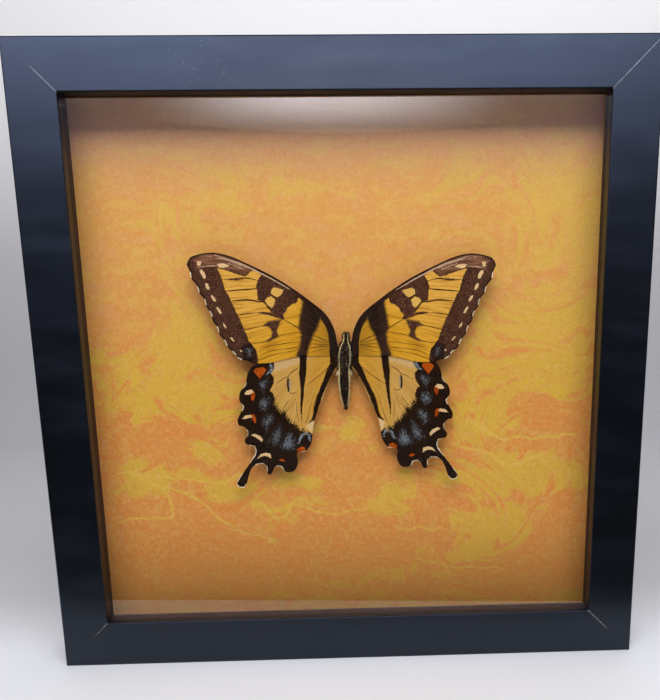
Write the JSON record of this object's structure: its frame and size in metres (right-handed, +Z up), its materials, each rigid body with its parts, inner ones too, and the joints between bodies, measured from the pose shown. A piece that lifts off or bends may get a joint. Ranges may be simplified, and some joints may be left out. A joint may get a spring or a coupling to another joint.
{
  "type": "framed butterfly specimen",
  "caption": "Spread swallowtail butterfly fixed to marbled paper behind glass in a small square black shadow box that stands on its edge or hangs.",
  "frame": {"origin": "middle of the box's bounding footprint, on the surface that its bottom edge stands on", "axes": "+Z up the box, +Y to its back (the glass faces -Y), +X to the right seen from the front"},
  "size_m": [0.241, 0.0296, 0.2435],
  "materials": {
    "frame": "satin black foil over wood",
    "glass": "clear float glass",
    "spacer": "dark brown board",
    "marbled_paper": "hand-marbled in orange and yellow",
    "mount_board": "off-white mount board",
    "back_board": "bare brown hardboard",
    "steel": "zinc plated",
    "body": "black hair and scales with pale yellow stripes",
    "forewing": "yellow scales barred and edged dark brown",
    "hindwing": "yellow and black scales dusted blue, with orange and cream marks"
  },
  "bodies": {
    "root": {"frame_rail_top": "frame", "frame_rail_right": "frame", "frame_rail_bottom": "frame", "frame_rail_left": "frame", "glass": "glass", "marbled_paper": "marbled_paper", "mount_board": "mount_board", "back_board": "back_board", "spacer_top": "spacer", "spacer_bottom": "spacer", "spacer_left": "spacer", "spacer_right": "spacer", "back_point_top_1": "steel", "back_point_top_2": "steel", "back_point_right_1": "steel", "back_point_right_2": "steel", "back_point_bottom_1": "steel", "back_point_bottom_2": "steel", "back_point_left_1": "steel", "back_point_left_2": "steel", "hanger": "steel", "hanger_nail_left": "steel", "hanger_nail_right": "steel", "butterfly_body": "body", "forewing_left": "forewing", "forewing_right": "forewing", "hindwing_left": "hindwing", "hindwing_right": "hindwing"}
  },
  "joints": []
}
